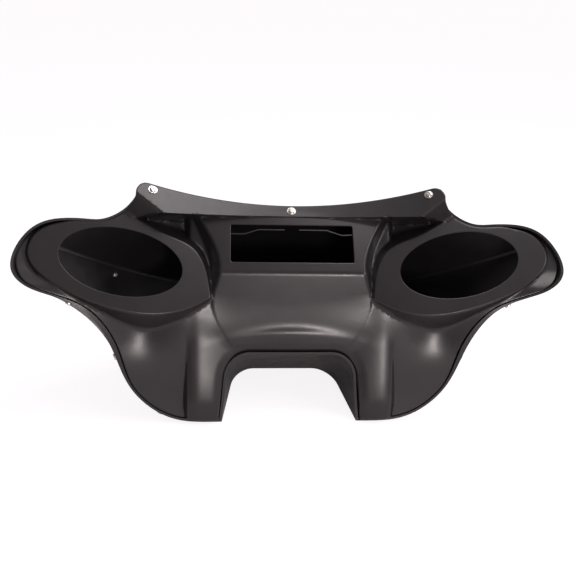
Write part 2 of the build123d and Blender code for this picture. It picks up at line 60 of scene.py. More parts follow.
# Outline, seen square to the dash (the right-hand half, in millimetres)
TOP_MID_UP = 127.0
HORN = (222.0, 156.5)
HORN_ROUND = 6.0
HORN_RUN = (1.0, -0.3)
HORN_SIDE = [HORN, (233.0, 143.5), (251.0, 118.5), (285.0, 100.5), (318.0, 100.5)]
WING_TIP = [(318.0, 100.5), (381.0, 80.0), (400.0, 33.0), (378.0, 0.0)]
TIP_LOW_RUN = (-0.85, -0.53)
ELBOW = (313.0, -39.5)
ELBOW_DRAW = (0.6, 0.8)
LEG_SIDE = (267.0, -94.0)
LEG_SIDE_DRAW = (0.5, 0.2)
KNEE = (236.0, -159.0)
KNEE_RUN = (-0.6, -0.8)
TOE = (184.0, -199.0)
FOOT = (107.0, -207.5)
STRIP = 11.0
RIGHTWARDS = (1.0, 0.0)
LEFTWARDS = (-1.0, 0.0)
TOP_STEPS = 90
HORN_STEPS = 7

# Headlight mouth
ARCH_UP = -102.0
ARCH_HALF = 95.0
ARCH_LEAN = 12.0 / 105.5
ARCH_CORNER = 38.0
ARCH_DEPTH = 26.0
MOUTH_RISE = 0.235
MOUTH_NARROW = 0.075
ARCH_STEPS = (24, 26, 40)
ARCH_SETTLE = 8

# Walls
OUTER_WALL = 3.5
PANEL_WALL = 3.0
SEAM_GAP = 0.3
PANEL_FIT = OUTER_WALL + SEAM_GAP
PANEL_SKIRT = 26.0
SKIRT_LEAST = 2.0
FLOOR_CLEAR = 0.5
EDGE_ROUND = 1.6
HOLE_ROUND = 0.9

# Panel surface
CREST_UP = -20.0
CREST = 39.0
UP_FALL = 46.0
UP_RUN = 72.0
DOWN_FALL = 44.0
DOWN_RUN = 130.0
SWEEP = 4.2e-4
SWEEP_RISE = 0.8e-6
VALLEY = 20.0
VALLEY_OUT = 165.0
VALLEY_WIDE = 45.0
SCOOP = 12.0
SCOOP_AT = (225.0, -60.0)
SCOOP_RUN = 42.0
GROOVE = 8.0
GROOVE_OUT = (310.0, 370.0)
GROOVE_UP = (-5.0, 30.0)

# Speaker pods
POD_FRONT = 60.0
POD_MID = (265.0, 38.0)
POD_SWEEP = 0.19
POD_SLOPE = 0.37
POD_LIP = 1.5
POD_DRAFT = 2.0
POD_BLEND = 3.0
POD_TIP = [(262.0, 122.0), (320.0, 98.0), (371.0, 78.0), (381.0, 50.0), (352.0, 11.0), (284.0, -22.0),
           (211.0, -39.0), (160.0, -32.0), (123.0, -15.0)]
POD_VALLEY = [(123.0, -15.0), (127.0, 15.0), (148.0, 58.0), (190.0, 80.0), (262.0, 122.0)]
SPEAKER = (252.0, 37.0)
SPEAKER_LONG = 177.0
SPEAKER_SHORT = 97.0
SPEAKER_TURN = math.radians(12.0)
SPEAKER_STEPS = 170

# Radio console
CONSOLE_UP = 22.0
CONSOLE_FRONT = 56.0
RADIO_SLOPE = 0.4
CHIN_SLOPE = 0.25
CONSOLE_SIDE = [(146.0, 114.0), (120.0, 69.0), (110.0, 22.0), (120.0, -15.0), (90.0, -90.0)]
CONSOLE_LIP = 3.0
CONSOLE_DRAFT = 1.9
CONSOLE_BLEND = 6.0
RIDGE_BLEND = 2.4
RIDGE_HALF = 112.0
RADIO_UP = 67.0
RADIO_WIDE = 186.0
RADIO_HIGH = 57.0
RADIO_CORNER = 2.5
CORNER_STEPS = 6
SLOT_STEP = 3.0

# Windshield flange
FLANGE_UP = 109.0
FLANGE_PROUD = 1.0
FLANGE_FRONT = CONSOLE_FRONT - RADIO_SLOPE * (FLANGE_UP - CONSOLE_UP) + FLANGE_PROUD
FLANGE_BOW = 8.6e-4
FLANGE_SLOPE = 0.5
FLANGE_END = [(193.0, 109.0), (232.0, 139.0), (272.0, 200.0)]
FLANGE_END_LIP = 1.6
FLANGE_DRAFT = 1.4
FLANGE_LIP = 0.7
FLANGE_WALL = 9.0
FLANGE_BLEND = 5.0
FLANGE_EASE = (-4.0, 6.0)

# Leg panels: crown, the bulge on either side of it, the rise down the leg and its fade at the foot
LEG_RAISE = 20.0
LEG_PEAK = 138.0
LEG_INNER = (0.2, 28.0, 40.0)
LEG_OUTER = (0.1, 15.0)
LEG_RAMP = (52.0, 185.0)
LEG_FADE = 0.4
LEG_FADE_DOWN = (170.0, 215.0)
LEG_EDGE = 156.0
LEG_LIP = 1.6
LEG_WALL = 1.7
LEG_BLEND = 1.6
CREASE_OUT = 162.0
CREASE_SPAN = (-40.0, -206.0)

# Visor over the arch with its bow and its run across, up and down; hollows beside it; rolled arch edge
VISOR = 3.6
VISOR_UP = -70.0
VISOR_BOW = (9.0, 87.0)
VISOR_RUN = (80.0, 9.0, 26.0)
HOLLOW = 0.8
HOLLOW_AT = (112.0, -36.0)
HOLLOW_RUN = (40.0, 24.0)
ARCH_ROLL = 14.0
ARCH_DROP = 5.5

# Net of the dash panel: its grid, the rows inside its edges and the rows beside its features
NET_GRID = 3.4
NET_ROWS = (0.35, 0.9, 1.7, 3.2)
NET_CELL = 3.0
FEATURE_CLEAR = 1.6
GRID_CLEAR = 2.0
GRID_GAP = 0.72
LIP_ROWS = (-6.0, -4.0, -2.4, -1.2, 0.0, 1.2, 2.4, 4.0, 6.0, 9.0, 12.0, 15.0, 18.0, 21.0, 24.0, 27.0, 30.0)
CREASE_ROWS = (-11.0, -10.0, -9.0, -8.0, -6.0, -4.0, -2.0, -1.0, 0.0, 1.0, 2.0, 4.0)
RIDGE_ROWS = (-5.0, -3.0, -1.0, 1.0, 3.0, 5.0)
STEP_ROWS = (-1.5, -0.7, 0.0, 0.7, 1.4, 2.1, 2.8, 3.5, 4.2, 5.2, 6.4, 8.0)
END_ROWS = (-4.0, -2.0, -0.6, 0.6, 2.0, 4.0, 7.0, 10.0, 13.0, 16.0, 19.0)
END_STEP = 2.6
END_COUNT = 34

# Stepped edges behind the top of the radio slot: their lower lines, then their height and depth
SLOT_EDGES = {"left": [(-97.0, 81.0), (-72.0, 81.0), (-51.0, 88.0), (-11.0, 88.0)],
              "right": [(11.0, 88.0), (54.0, 88.0), (77.0, 80.3), (99.0, 82.0)]}
SLOT_EDGE = (1.6, 1.5)
SLOT_EDGE_STEPS = 60

# Fasteners: radius and height of the heads and sockets; radius, thickness and bore of the washers
SHIELD_HEAD = (5.0, 3.0)
EDGE_HEAD = (4.75, 2.6)
SOCKET = (1.75, 1.6)
WASHER = (6.5, 1.2, 2.8)
SHANK_RADIUS = 2.5
SCREW_SPACING = 0.06
INNER_HEAD = (4.2, 2.2)
INNER_SCREW = (-275.4, 19.6, -46.7)
INNER_SCREW_AXIS = (0.682, 0.295, 0.67)
INNER_SCREW_LENGTH = 5.0

# Studio: floor, surroundings from the left to the right, and lamps (place, aim, width, height, watts, colour)
FLOOR_SIDE = 14.0
FLOOR_GLOW = 1.38
FLOOR_GLOW_SHARE = 0.62
ROOM_STRENGTH = (0.22, 0.62)
ROOM_COLOUR = (1.0, 0.89, 0.94, 1.0)
LAMPS = {"overhead": ((0.45, 0.05, 1.8), (0.0, 0.0, 0.2), 0.9, 0.55, 9.0, (1.0, 0.94, 0.94)),
         "front": ((0.42, -2.3, 0.70), (0.0, 0.0, 0.12), 0.4, 0.35, 17.0, (1.0, 0.93, 0.91)),
         "right": ((1.9, -0.9, 1.5), (0.0, 0.0, 0.1), 1.2, 1.0, 16.0, (1.0, 0.94, 0.95))}
HEAD_STEPS = ((0.55, 1.0), (0.25, 0.955), (0.14, 0.9), (0.06, 0.86))


def rest_frame(points):
    """Mould points in millimetres, as an (n, 3) array, turned into the row frame in metres."""
    u, v, w = np.asarray(points, float).reshape(-1, 3).T
    y = v * math.sin(REST_PITCH) - w * math.cos(REST_PITCH) + MOULD_Y
    z = v * math.cos(REST_PITCH) + w * math.sin(REST_PITCH) + MOULD_Z
    return np.stack([u, y, z], axis=1) / 1000.0


def rest_axis(u, v, w):
    """A mould direction in the row frame."""
    return Vector((u, v * math.sin(REST_PITCH) - w * math.cos(REST_PITCH),
                   v * math.cos(REST_PITCH) + w * math.sin(REST_PITCH)))


def link(name, data):
    piece = bpy.data.objects.new(name, data)
    bpy.context.scene.collection.objects.link(piece)
    return piece


def add_node(tree, kind, inputs=None, **settings):
    """A node with its settings and inputs; an input that is a socket is linked."""
    made = tree.nodes.new(kind)
    for key, value in settings.items():
        setattr(made, key, value)
    for key, value in (inputs or {}).items():
        if isinstance(value, bpy.types.NodeSocket):
            tree.links.new(value, made.inputs[key])
        else:
            made.inputs[key].default_value = value
    return made


class Finish:
    """One procedural material, with short calls for the nodes that every finish here uses."""

    def __init__(self, name):
        self.material = bpy.data.materials.new(name)
        self.material.use_nodes = True
        self.tree = self.material.node_tree
        self.shader = self.tree.nodes["Principled BSDF"]
        self.place = self.tree.nodes.new("ShaderNodeTexCoord").outputs["Object"]

    def node(self, kind, inputs=None, **settings):
        return add_node(self.tree, kind, inputs, **settings)

    def noise(self, scale, detail=3.0, rough=0.5, stretch=(1, 1, 1)):
        spot = self.node("ShaderNodeMapping", {"Vector": self.place, "Scale": stretch})
        return self.node("ShaderNodeTexNoise", {"Vector": spot.outputs[0], "Scale": scale, "Detail": detail,
                                                "Roughness": rough}).outputs["Fac"]

    def spread(self, value, low, high, to_low, to_high):
        return self.node("ShaderNodeMapRange", {"Value": value, "From Min": low, "From Max": high,
                                                "To Min": to_low, "To Max": to_high}).outputs["Result"]

    def tint(self, value, *stops):
        ramp = self.node("ShaderNodeValToRGB", {"Fac": value})
        bar = ramp.color_ramp.elements
        while len(bar) < len(stops):
            bar.new(0.5)
        for stop, (at, colour) in zip(bar, stops):
            stop.position = at
            stop.color = (*colour, 1.0)
        return ramp.outputs["Color"]

    def bump(self, height, strength, distance, under=None):
        inputs = {"Height": height, "Strength": strength, "Distance": distance}
        if under is not None:
            inputs["Normal"] = under
        return self.node("ShaderNodeBump", inputs).outputs["Normal"]

    def feed(self, **sockets):
        for key, value in sockets.items():
            socket = self.shader.inputs[key.replace("_", " ")]
            if isinstance(value, bpy.types.NodeSocket):
                self.tree.links.new(value, socket)
            else:
                socket.default_value = value
        return self.material


def satin_abs(name, dark, pale, rough_low, rough_high):
    """Moulded black ABS: a fine grain, slow changes of sheen and a few handling smudges."""
    finish = Finish(name)
    cloud = finish.noise(9.0, 4.0, 0.55)
    smudge = finish.noise(38.0, 5.0, 0.65, (1.0, 0.7, 1.3))
    grain = finish.noise(1400.0, 2.0, 0.5)
    orange_peel = finish.noise(220.0, 2.0, 0.5)
    colour = finish.tint(cloud, (0.3, dark), (0.7, pale))
    sheen = finish.spread(smudge, 0.35, 0.7, rough_low, rough_high)
    relief = finish.bump(grain, 0.25, 0.00006)
    relief = finish.bump(orange_peel, 0.3, 0.0001, relief)
    return finish.feed(Base_Color=colour, Roughness=sheen, Normal=relief)


def zinc_steel(name, dark, pale, rough_low, rough_high):
    """Bright zinc-plated steel with a slightly cloudy plating."""
    finish = Finish(name)
    cloud = finish.noise(600.0, 4.0, 0.6)
    colour = finish.tint(cloud, (0.3, dark), (0.7, pale))
    rough = finish.spread(cloud, 0.3, 0.7, rough_low, rough_high)
    relief = finish.bump(finish.noise(2500.0, 2.0), 0.2, 0.00003)
    return finish.feed(Base_Color=colour, Roughness=rough, Metallic=1.0, Normal=relief)


def sleeve_rubber(name):
    """Matt black rubber with a dusty bloom."""
    finish = Finish(name)
    bloom = finish.noise(300.0, 5.0, 0.7)
    colour = finish.tint(bloom, (0.3, (0.012, 0.012, 0.012)), (0.8, (0.03, 0.03, 0.031)))
    rough = finish.spread(bloom, 0.3, 0.7, 0.7, 0.9)
    return finish.feed(Base_Color=colour, Roughness=rough, Normal=finish.bump(bloom, 0.3, 0.0001))


shell_black = satin_abs("shell_black", (0.010, 0.0095, 0.010), (0.014, 0.013, 0.0135), 0.30, 0.42)
dash_black = satin_abs("dash_black", (0.011, 0.0095, 0.0105), (0.016, 0.014, 0.015), 0.28, 0.33)
screw_zinc = zinc_steel("screw_zinc", (0.62, 0.60, 0.57), (0.80, 0.78, 0.75), 0.22, 0.36)
nut_zinc = zinc_steel("nut_zinc", (0.45, 0.45, 0.43), (0.62, 0.61, 0.58), 0.3, 0.45)
rubber = sleeve_rubber("sleeve_black")

FINISHES = {"outer_fairing": shell_black, "inner_fairing": dash_black, "windshield_screws": screw_zinc,
            "windshield_washers": screw_zinc, "windshield_sleeves": rubber, "windshield_nuts": nut_zinc,
            "edge_screws": screw_zinc, "edge_nuts": nut_zinc}
for name, finish in FINISHES.items():
    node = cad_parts[name]
    node.data.materials.clear()
    node.data.materials.append(finish)


def smooth_line(points, start=None, end=None, step=2.5):
    """Smooth line through the points at even steps, leaving and arriving in the given directions."""
    knots = np.asarray(points, float)
    gaps = np.linalg.norm(np.diff(knots, axis=0), axis=1)
    run = np.concatenate([[0.0], np.cumsum(gaps)])
    last = len(knots) - 1
    system = np.zeros((last + 1, last + 1))
    right = np.zeros((last + 1, 2))
    for i in range(1, last):
        before, after = 1.0 / gaps[i - 1], 1.0 / gaps[i]
        system[i, i - 1:i + 2] = before, 2.0 * (before + after), after
        right[i] = 3.0 * ((knots[i] - knots[i - 1]) * before ** 2 + (knots[i + 1] - knots[i]) * after ** 2)
    for i, near, held in ((0, 0, start), (last, last - 1, end)):
        if held is None:
            system[i, i] = 2.0
            system[i, last - 1 if i else 1] = 1.0
            right[i] = 3.0 * (knots[near + 1] - knots[near]) / gaps[near]
        else:
            system[i, i] = 1.0
            right[i] = np.asarray(held, float) / np.linalg.norm(held)
    slopes = np.linalg.solve(system, right)
    along = np.linspace(0.0, run[-1], int(math.ceil(run[-1] / step)) + 1)
    i = np.clip(np.searchsorted(run, along, side="right") - 1, 0, last - 1)
    t = ((along - run[i]) / gaps[i])[:, None]
    stretch = gaps[i][:, None]
    return ((2 * t ** 3 - 3 * t ** 2 + 1) * knots[i] + (t ** 3 - 2 * t ** 2 + t) * stretch * slopes[i]
            + (3 * t ** 2 - 2 * t ** 3) * knots[i + 1] + (t ** 3 - t ** 2) * stretch * slopes[i + 1])


def inward(line, closed=False):
    """Unit directions to the right of a line, which is inside for one that runs clockwise."""
    if closed:
        run = np.roll(line, -1, axis=0) - np.roll(line, 1, axis=0)
    else:
        run = np.gradient(line, axis=0)
    run = run / np.linalg.norm(run, axis=1)[:, None]
    return np.stack([run[:, 1], -run[:, 0]], axis=1)


def outside(points, ring):
    """Distance of each point from a closed ring, negative inside it."""
    start = np.asarray(ring, float)
    end = np.roll(start, -1, axis=0)
    side = end - start
    length = np.maximum((side ** 2).sum(axis=1), 1e-9)
    found = []
    for part in np.array_split(np.asarray(points, float), max(1, len(points) // 1500)):
        off = part[:, None] - start[None]
        t = np.clip((off * side).sum(axis=2) / length, 0.0, 1.0)
        gap = np.sqrt(((off - t[..., None] * side) ** 2).sum(axis=2).min(axis=1))
        high = part[:, None, 1]
        crosses = (start[:, 1] > high) != (end[:, 1] > high)
        rise = np.where(side[:, 1] == 0.0, 1e-9, side[:, 1])
        at = start[:, 0] + side[:, 0] * (high - start[:, 1]) / rise
        within = (crosses & (part[:, None, 0] < at)).sum(axis=1) % 2 == 1
        found.append(np.where(within, -gap, gap))
    return np.concatenate(found)


def smooth_max(one, two, blend):
    """The higher of two heights, rounded over a blend."""
    h = np.clip(0.5 + 0.5 * (one - two) / blend, 0.0, 1.0)
    return two + (one - two) * h + blend * h * (1.0 - h)


def smooth_min(one, two, blend):
    return -smooth_max(-one, -two, blend)


def smooth_step(value, low, high):
    t = np.clip((value - low) / (high - low), 0.0, 1.0)
    return t * t * (3.0 - 2.0 * t)


def fall(off, lip, draft):
    """How far a raised form has dropped at a distance past its lip: a rounded lip, then a straight wall."""
    t = np.maximum(off + lip, 0.0)
    return np.where(t < 2.0 * lip, draft * t * t / (4.0 * lip), draft * (t - lip))


def rolled(inside, radius):
    """How far a rounded edge has dropped at a distance inside the edge."""
    t = np.clip(radius - inside, 0.0, radius)
    return radius - np.sqrt(np.maximum(radius ** 2 - t * t, 0.0))


def seam(u, v):
    """Surface where the dash panel meets the outer shell."""
    d = v - CREST_UP
    fall_up = UP_FALL * (1.0 - np.exp(-((d / UP_RUN) ** 2)))
    fall_down = DOWN_FALL * (1.0 - np.exp(-((d / DOWN_RUN) ** 2)))
    return CREST - np.where(d > 0.0, fall_up, fall_down) + (SWEEP + SWEEP_RISE * v) * u * u


def top_edge(u):
    """Height of the flange's top edge, an arc from horn to horn."""
    rise = HORN[1] - TOP_MID_UP
    radius = (HORN[0] ** 2 + rise ** 2) / (2.0 * rise)
    return TOP_MID_UP + radius - np.sqrt(radius ** 2 - u * u)


def past_line(u, v, start, end):
    """Distance past a straight line, on its right-hand side."""
    run = np.subtract(end, start) / math.dist(start, end)
    return (u - start[0]) * run[1] - (v - start[1]) * run[0]


def past_flange_end(u, v):
    """Distance past the flange's slanted ends."""
    return np.maximum(past_line(u, v, *FLANGE_END[:2]), past_line(u, v, *FLANGE_END[1:]))


def pod_ring():
    tip = smooth_line(POD_TIP)
    return np.concatenate([tip[:-1], smooth_line(POD_VALLEY)[:-1]])


def console_ring():
    side = smooth_line(CONSOLE_SIDE)
    return np.concatenate([side, side[::-1] * (-1.0, 1.0)])


def floor_face(u, v, ground):
    """Ground of the panel with its valleys, the scoops above the legs and the grooves at the wing tips."""
    up = np.clip((v - CREST_UP) / (FLANGE_UP - CREST_UP), 0.0, 1.0)
    across = (u - VALLEY_OUT) / VALLEY_WIDE
    face = ground - VALLEY * np.exp(-across ** 2) * np.sin(0.5 * math.pi * up) ** 2
    scoop = ((u - SCOOP_AT[0]) ** 2 + (v - SCOOP_AT[1]) ** 2) / SCOOP_RUN ** 2
    return face - SCOOP * np.exp(-scoop) - GROOVE * smooth_step(u, *GROOVE_OUT) * smooth_step(v, *GROOVE_UP)


def leg_face(u, v, ground):
    """Leg panels beside the arch, crowned, with a wall along their outer side."""
    inner = np.minimum(u - LEG_PEAK, 0.0)
    outer = np.maximum(u - LEG_PEAK, 0.0)
    bulge = (LEG_INNER[0] * (inner / LEG_INNER[1]) ** 2 / (1.0 - inner / LEG_INNER[2])
             + LEG_OUTER[0] * (outer / LEG_OUTER[1]) ** 2)
    ramp = smooth_step(-v, *LEG_RAMP) * (1.0 - LEG_FADE * smooth_step(-v, *LEG_FADE_DOWN))
    return ground + LEG_RAISE * (ramp - bulge) - fall(u - LEG_EDGE, LEG_LIP, LEG_WALL)


def pod_face(u, v):
    face = POD_FRONT + POD_SWEEP * (u - POD_MID[0]) - POD_SLOPE * (v - POD_MID[1])
    return face - fall(outside(np.stack([u, v], axis=1), pod_ring()), POD_LIP, POD_DRAFT)


def radio_face(v):
    return CONSOLE_FRONT - RADIO_SLOPE * (v - CONSOLE_UP)


def console_face(u, v):
    """Radio face and chin, meeting in a ridge, with drafted sides."""
    chin = CONSOLE_FRONT + CHIN_SLOPE * (v - CONSOLE_UP)
    face = smooth_min(radio_face(v), chin, RIDGE_BLEND)
    return face - fall(outside(np.stack([u, v], axis=1), console_ring()), CONSOLE_LIP, CONSOLE_DRAFT)


def visor(u, v):
    """Low bulge over the arch."""
    middle = VISOR_UP - VISOR_BOW[0] * (u / VISOR_BOW[1]) ** 2
    height = np.where(v > middle, (v - middle) / VISOR_RUN[1], (v - middle) / VISOR_RUN[2])
    return VISOR * np.exp(-height ** 2 - (u / VISOR_RUN[0]) ** 2)


def hollow(u, v):
    """Shallow dip beside the chin."""
    off = ((u - HOLLOW_AT[0]) / HOLLOW_RUN[0]) ** 2 + ((v - HOLLOW_AT[1]) / HOLLOW_RUN[1]) ** 2
    return HOLLOW * np.exp(-off)


def flange_face(u, v):
    """Windshield flange, bowed from side to side, with its step down to the radio face and its end walls."""
    face = FLANGE_FRONT + FLANGE_BOW * u * u - FLANGE_SLOPE * (v - FLANGE_UP)
    ends = fall(past_flange_end(u, v), FLANGE_END_LIP, FLANGE_DRAFT)
    return face - np.maximum(ends, fall(FLANGE_UP - v, FLANGE_LIP, FLANGE_WALL))


def panel_face(points):
    """Face of the dash panel: floor, leg panels, pods, console, visor and flange, softly joined."""
    u, v = np.abs(points[:, 0]), points[:, 1]
    ground = seam(u, v)
    face = smooth_max(floor_face(u, v, ground), leg_face(u, v, ground), LEG_BLEND)
    face = smooth_max(face, pod_face(u, v), POD_BLEND)
    face = smooth_max(face, console_face(u, v), CONSOLE_BLEND)
    face = face + visor(u, v) - hollow(u, v)
    return smooth_max(face, flange_face(u, v), FLANGE_BLEND)


def outline_half(inset):
    """Right-hand half of the silhouette from the top middle to the foot, moved in by inset(points)."""
    across = np.linspace(0.0, HORN[0], TOP_STEPS)
    top = np.stack([across, top_edge(across)], axis=1)
    elbow = (ELBOW[0] - ELBOW_DRAW[0] * STRIP, ELBOW[1] + ELBOW_DRAW[1] * STRIP)
    leg = (LEG_SIDE[0] - LEG_SIDE_DRAW[0] * STRIP, LEG_SIDE[1] + LEG_SIDE_DRAW[1] * STRIP)
    side = np.concatenate([smooth_line(HORN_SIDE, HORN_RUN, RIGHTWARDS)[:-1],
                           smooth_line(WING_TIP, RIGHTWARDS, TIP_LOW_RUN)[:-1],
                           smooth_line([WING_TIP[-1], elbow, leg, KNEE], TIP_LOW_RUN, KNEE_RUN)[:-1],
                           smooth_line([KNEE, TOE, FOOT], KNEE_RUN, LEFTWARDS)])
    top = top + inward(top) * inset(top)[:, None]
    side = side + inward(side) * inset(side)[:, None]
    horn = np.asarray(HORN)
    top = top[np.linalg.norm(top - horn, axis=1) > HORN_ROUND]
    side = side[np.linalg.norm(side - horn, axis=1) > HORN_ROUND]
    t = np.linspace(0.0, 1.0, HORN_STEPS)[1:-1, None]
    bend = (1 - t) ** 2 * top[-1] + 2 * t * (1 - t) * horn + t ** 2 * side[0]
    return np.concatenate([top, bend, side])


def arch_half(grow, foot_up):
    """Right-hand half of the arch where the mouth, grown by a wall, cuts the panel, from top to foot."""
    radius = ARCH_CORNER + grow
    slant = math.hypot(ARCH_LEAN, 1.0)
    corner = math.acos(-ARCH_LEAN / slant)
    cut = radius / math.tan(corner / 2.0)
    level = np.linspace(0.0, 1.0, ARCH_STEPS[0])
    turn = np.linspace(0.0, math.pi - corner, ARCH_STEPS[1])[1:-1]
    drop = np.linspace(0.0, 1.0, ARCH_STEPS[2])
    depth = np.full(len(level) + len(turn) + len(drop), ARCH_DEPTH)
    one, two, three = np.split(np.arange(len(depth)), [len(level), len(level) + len(turn)])
    for _ in range(ARCH_SETTLE):
        up = ARCH_UP - MOUTH_RISE * (ARCH_DEPTH - depth) + grow
        half = ARCH_HALF - MOUTH_NARROW * (ARCH_DEPTH - depth) + grow
        u = np.empty_like(depth)
        v = np.empty_like(depth)
        u[one] = level * (half[one] - cut)
        v[one] = up[one]
        u[two] = half[two] - cut + radius * np.sin(turn)
        v[two] = up[two] - radius * (1.0 - np.cos(turn))
        start = up[three] - cut / slant
        v[three] = start + (foot_up - start) * drop
        u[three] = half[three] + ARCH_LEAN * (up[three] - v[three])
        depth = panel_face(np.stack([u, v], axis=1))
    return np.stack([u, v], axis=1)


def whole(half):
    """A right-hand half line joined with its mirror image, as one clockwise ring from the left."""
    return np.concatenate([half[:0:-1] * (-1.0, 1.0), half])


def ellipse(middle, long, short, turn, count):
    a = np.linspace(0.0, 2.0 * math.pi, count, endpoint=False)
    x, y = 0.5 * long * np.cos(a), -0.5 * short * np.sin(a)
    return np.stack([middle[0] + x * math.cos(turn) - y * math.sin(turn),
                     middle[1] + x * math.sin(turn) + y * math.cos(turn)], axis=1)


def slot_ring():
    """Radio slot with rounded corners, clockwise."""
    ring = []
    for side_u, side_v, start in ((1, 1, 90), (1, -1, 0), (-1, -1, -90), (-1, 1, -180)):
        for a in np.radians(np.linspace(start, start - 90, CORNER_STEPS)):
            ring.append((side_u * (RADIO_WIDE / 2 - RADIO_CORNER) + RADIO_CORNER * math.cos(a),
                         RADIO_UP + side_v * (RADIO_HIGH / 2 - RADIO_CORNER) + RADIO_CORNER * math.sin(a)))
    return divided(np.asarray(ring), SLOT_STEP)


def divided(ring, step):
    """A closed ring with its long sides cut into steps."""
    points = []
    for start, end in zip(ring, np.roll(ring, -1, axis=0)):
        count = max(1, int(round(math.dist(start, end) / step)))
        points += [start + (end - start) * k / count for k in range(count)]
    return np.asarray(points)


class Scatter:
    """Points kept only where no earlier point is too near."""

    def __init__(self):
        self.points = []
        self.cells = {}

    def add(self, points, gap):
        places = []
        for p in points:
            x, y = float(p[0]), float(p[1])
            i, j = int(x // NET_CELL), int(y // NET_CELL)
            cells = [(a, b) for a in (i - 1, i, i + 1) for b in (j - 1, j, j + 1)]
            near = (q for cell in cells for q in self.cells.get(cell, ()))
            if gap and any((x - q[0]) ** 2 + (y - q[1]) ** 2 < gap * gap for q in near):
                continue
            self.cells.setdefault((i, j), []).append((x, y))
            places.append(len(self.points))
            self.points.append((x, y))
        return places


def beside(line, offsets, closed=False):
    """Copies of a line moved to its right by the offsets."""
    side = inward(line, closed)
    return np.concatenate([line + side * off for off in offsets])


def both(points):
    return np.concatenate([points, points * (-1.0, 1.0)])


def lattice(border):
    """Points of a triangular grid over a border's box."""
    lows, highs = border.min(axis=0), border.max(axis=0)
    rows = []
    for k, up in enumerate(np.arange(lows[1], highs[1], NET_GRID * math.sqrt(0.75))):
        across = np.arange(lows[0] + (k % 2) * NET_GRID / 2, highs[0], NET_GRID)
        rows.append(np.stack([across, np.full(len(across), up)], axis=1))
    return np.concatenate(rows)


def cleared(points, border, holes, gap):
    """The points that lie inside a border and outside its holes by more than a gap."""
    room = -outside(points, border)
    for hole in holes:
        room = np.minimum(room, outside(points, hole))
    return points[room > gap]


def facing(places, faces, on_edge, border, holes):
    """The faces inside a border and outside its holes, all turned towards the rider."""
    doubt = on_edge[faces].all(axis=1)
    middle = places[faces[doubt]].mean(axis=1)
    good = outside(middle, border) < 0.0
    for hole in holes:
        good &= outside(middle, hole) > 0.0
    keep = np.ones(len(faces), bool)
    keep[doubt] = good
    faces = faces[keep]
    a, b, c = (places[faces[:, k]] for k in range(3))
    turned = (b[:, 0] - a[:, 0]) * (c[:, 1] - a[:, 1]) < (b[:, 1] - a[:, 1]) * (c[:, 0] - a[:, 0])
    faces[turned] = faces[turned][:, ::-1]
    return faces


def net(border, holes, features):
    """Triangles over a border with holes, fine along its edges and features: points, faces and edge rings."""
    scatter = Scatter()
    rings = [scatter.add(ring, 0.0) for ring in [border] + holes]
    edges = [(a, b) for ring in rings for a, b in zip(ring, ring[1:] + ring[:1])]
    outwards = [-off for off in NET_ROWS]
    rows = np.concatenate([beside(border, NET_ROWS, True)] + [beside(hole, outwards, True) for hole in holes])
    scatter.add(cleared(rows, border, holes, 0.9 * NET_ROWS[0]), 0.8 * NET_ROWS[0])
    for lines, gap in features:
        scatter.add(cleared(lines, border, holes, FEATURE_CLEAR), gap)
    scatter.add(cleared(lattice(border), border, holes, GRID_CLEAR), GRID_GAP * NET_GRID)
    found = delaunay_2d_cdt([Vector(p) for p in scatter.points], edges, [], 0, 1e-5)
    places = np.asarray([tuple(p) for p in found[0]])
    made = {old: new for new, olds in enumerate(found[3]) for old in olds}
    edge_of = [[made[k] for k in ring] for ring in rings]
    on_edge = np.zeros(len(places), bool)
    on_edge[[k for ring in edge_of for k in ring]] = True
    return places, facing(places, np.asarray(found[2]), on_edge, border, holes), edge_of


def piece_from(name, points, faces, finish, sharp=40.0):
    """Mesh piece from mould points, shaded smooth except at sharp edges."""
    mesh = bpy.data.meshes.new(name)
    mesh.from_pydata(rest_frame(points).tolist(), [], [tuple(face) for face in faces])
    mesh.materials.append(finish)
    mesh.shade_smooth()
    mesh.set_sharp_from_angle(angle=math.radians(sharp))
    return link(name, mesh)


def panel_inset(points):
    """How far the panel's border lies inside the silhouette: within the outer rim, but not on the flange."""
    u, v = np.abs(points[:, 0]), points[:, 1]
    past = np.maximum(past_flange_end(u, v), FLANGE_UP - v)
    return PANEL_FIT * smooth_step(past, *FLANGE_EASE)


def panel_features():
    """Lines along which the panel's net is fine, with the least gap between their points."""
    down = np.linspace(*CREASE_SPAN, 60)
    crease = np.stack([np.full(len(down), CREASE_OUT), down], axis=1)
    across = np.linspace(-RIDGE_HALF, RIDGE_HALF, 80)
    ridge = np.stack([across, np.full(len(across), CONSOLE_UP)], axis=1)
    across = np.linspace(-FLANGE_END[0][0], FLANGE_END[0][0], 140)
    step = np.stack([across, np.full(len(across), FLANGE_UP)], axis=1)
    end = divided(np.asarray(FLANGE_END), END_STEP)[:END_COUNT]
    lips = [-k for k in LIP_ROWS]
    return [(beside(step, STEP_ROWS), 0.5),
            (both(beside(pod_ring(), lips, True)), 1.0),
            (both(beside(smooth_line(CONSOLE_SIDE), lips)), 1.0),
            (both(beside(crease, CREASE_ROWS)), 0.8),
            (beside(ridge, RIDGE_ROWS), 1.0),
            (both(beside(end, END_ROWS)), 1.0)]


def panel_skirt(rim):
    """Lower edge of the wall under the panel's rim, short at the flange and clear of the floor."""
    floor_w = (PANEL_FIT + FLOOR_CLEAR - MOULD_Z - rim[:, 1] * math.cos(REST_PITCH)) / math.sin(REST_PITCH)
    deep = np.where(panel_inset(rim[:, :2]) < 0.5 * PANEL_FIT, PANEL_WALL, PANEL_SKIRT)
    skirt = rim.copy()
    skirt[:, 2] = np.maximum(rim[:, 2] - deep, np.minimum(floor_w, rim[:, 2] - SKIRT_LEAST))
    return skirt


